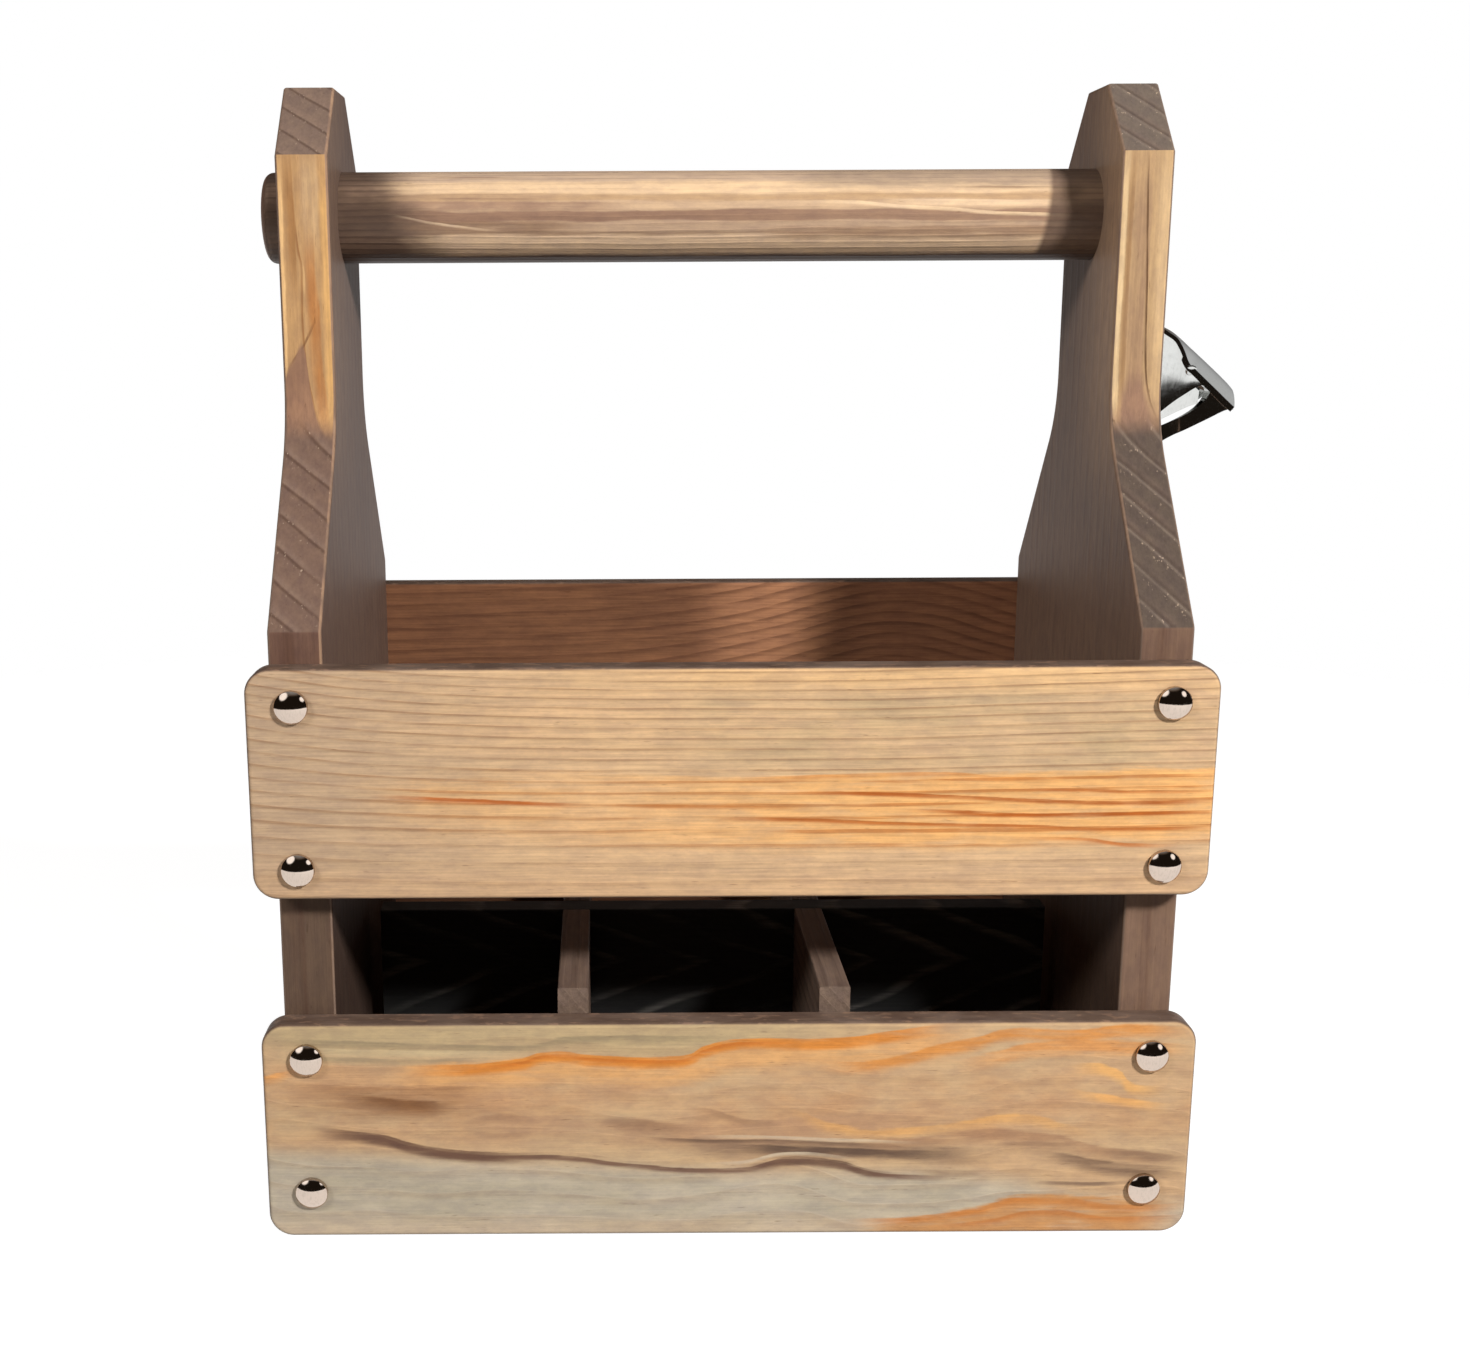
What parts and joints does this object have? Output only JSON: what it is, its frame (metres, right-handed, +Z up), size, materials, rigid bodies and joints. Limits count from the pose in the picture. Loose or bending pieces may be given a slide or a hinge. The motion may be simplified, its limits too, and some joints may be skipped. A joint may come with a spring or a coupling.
{
  "type": "bottle caddy",
  "caption": "Wooden bottle caddy with shouldered end boards, nailed slats, a round carrying dowel, a lift-out divider grid and a bottle opener on one end.",
  "frame": {"origin": "centre of the underside of the base, on the surface that the caddy stands on", "axes": "+Z up, +X along the handle towards the end with the opener, -Y towards the front"},
  "size_m": [0.3316, 0.1892, 0.369],
  "materials": {
    "end_board_pine": "grey-brown stained pine, satin",
    "dowel_pine": "brown stained pine dowel, satin",
    "upper_slat_pine": "honey pine with grey tints, satin",
    "lower_slat_pine": "honey pine with bold grain, satin",
    "back_slat_pine": "red-brown stained pine, satin",
    "base_plywood": "stained plywood, matt",
    "divider_pine": "grey-brown stained pine, matt",
    "black_divider": "black stained plywood, matt",
    "nail_chrome": "polished",
    "opener_chrome": "polished",
    "screw_chrome": "polished",
    "brad_steel": "bright drawn"
  },
  "bodies": {
    "carrier": {"end_board_left": "end_board_pine", "end_board_right": "end_board_pine", "handle_dowel": "dowel_pine", "front_upper_slat": "upper_slat_pine", "front_lower_slat": "lower_slat_pine", "back_upper_slat": "back_slat_pine", "back_lower_slat": "back_slat_pine", "bottom_panel": "base_plywood", "opener_body": "opener_chrome", "nail_front_left_lower_bottom": "nail_chrome", "nail_front_left_lower_top": "nail_chrome", "nail_front_left_upper_bottom": "nail_chrome", "nail_front_left_upper_top": "nail_chrome", "nail_front_right_lower_bottom": "nail_chrome", "nail_front_right_lower_top": "nail_chrome", "nail_front_right_upper_bottom": "nail_chrome", "nail_front_right_upper_top": "nail_chrome", "nail_back_left_lower_bottom": "nail_chrome", "nail_back_left_lower_top": "nail_chrome", "nail_back_left_upper_bottom": "nail_chrome", "nail_back_left_upper_top": "nail_chrome", "nail_back_right_lower_bottom": "nail_chrome", "nail_back_right_lower_top": "nail_chrome", "nail_back_right_upper_bottom": "nail_chrome", "nail_back_right_upper_top": "nail_chrome", "base_brad_left_front": "brad_steel", "base_brad_left_middle": "brad_steel", "base_brad_left_back": "brad_steel", "base_brad_right_front": "brad_steel", "base_brad_right_middle": "brad_steel", "base_brad_right_back": "brad_steel", "opener_screw_upper": "screw_chrome", "opener_screw_lower": "screw_chrome"},
    "divider_grid": {"cross_divider_left": "divider_pine", "cross_divider_right": "divider_pine", "long_divider": "black_divider"}
  },
  "joints": [
    {"name": "grid_lift", "type": "slide", "parent": "carrier", "child": "divider_grid", "axis": [0, 0, 1], "range_m": [0, 0.2]}
  ]
}
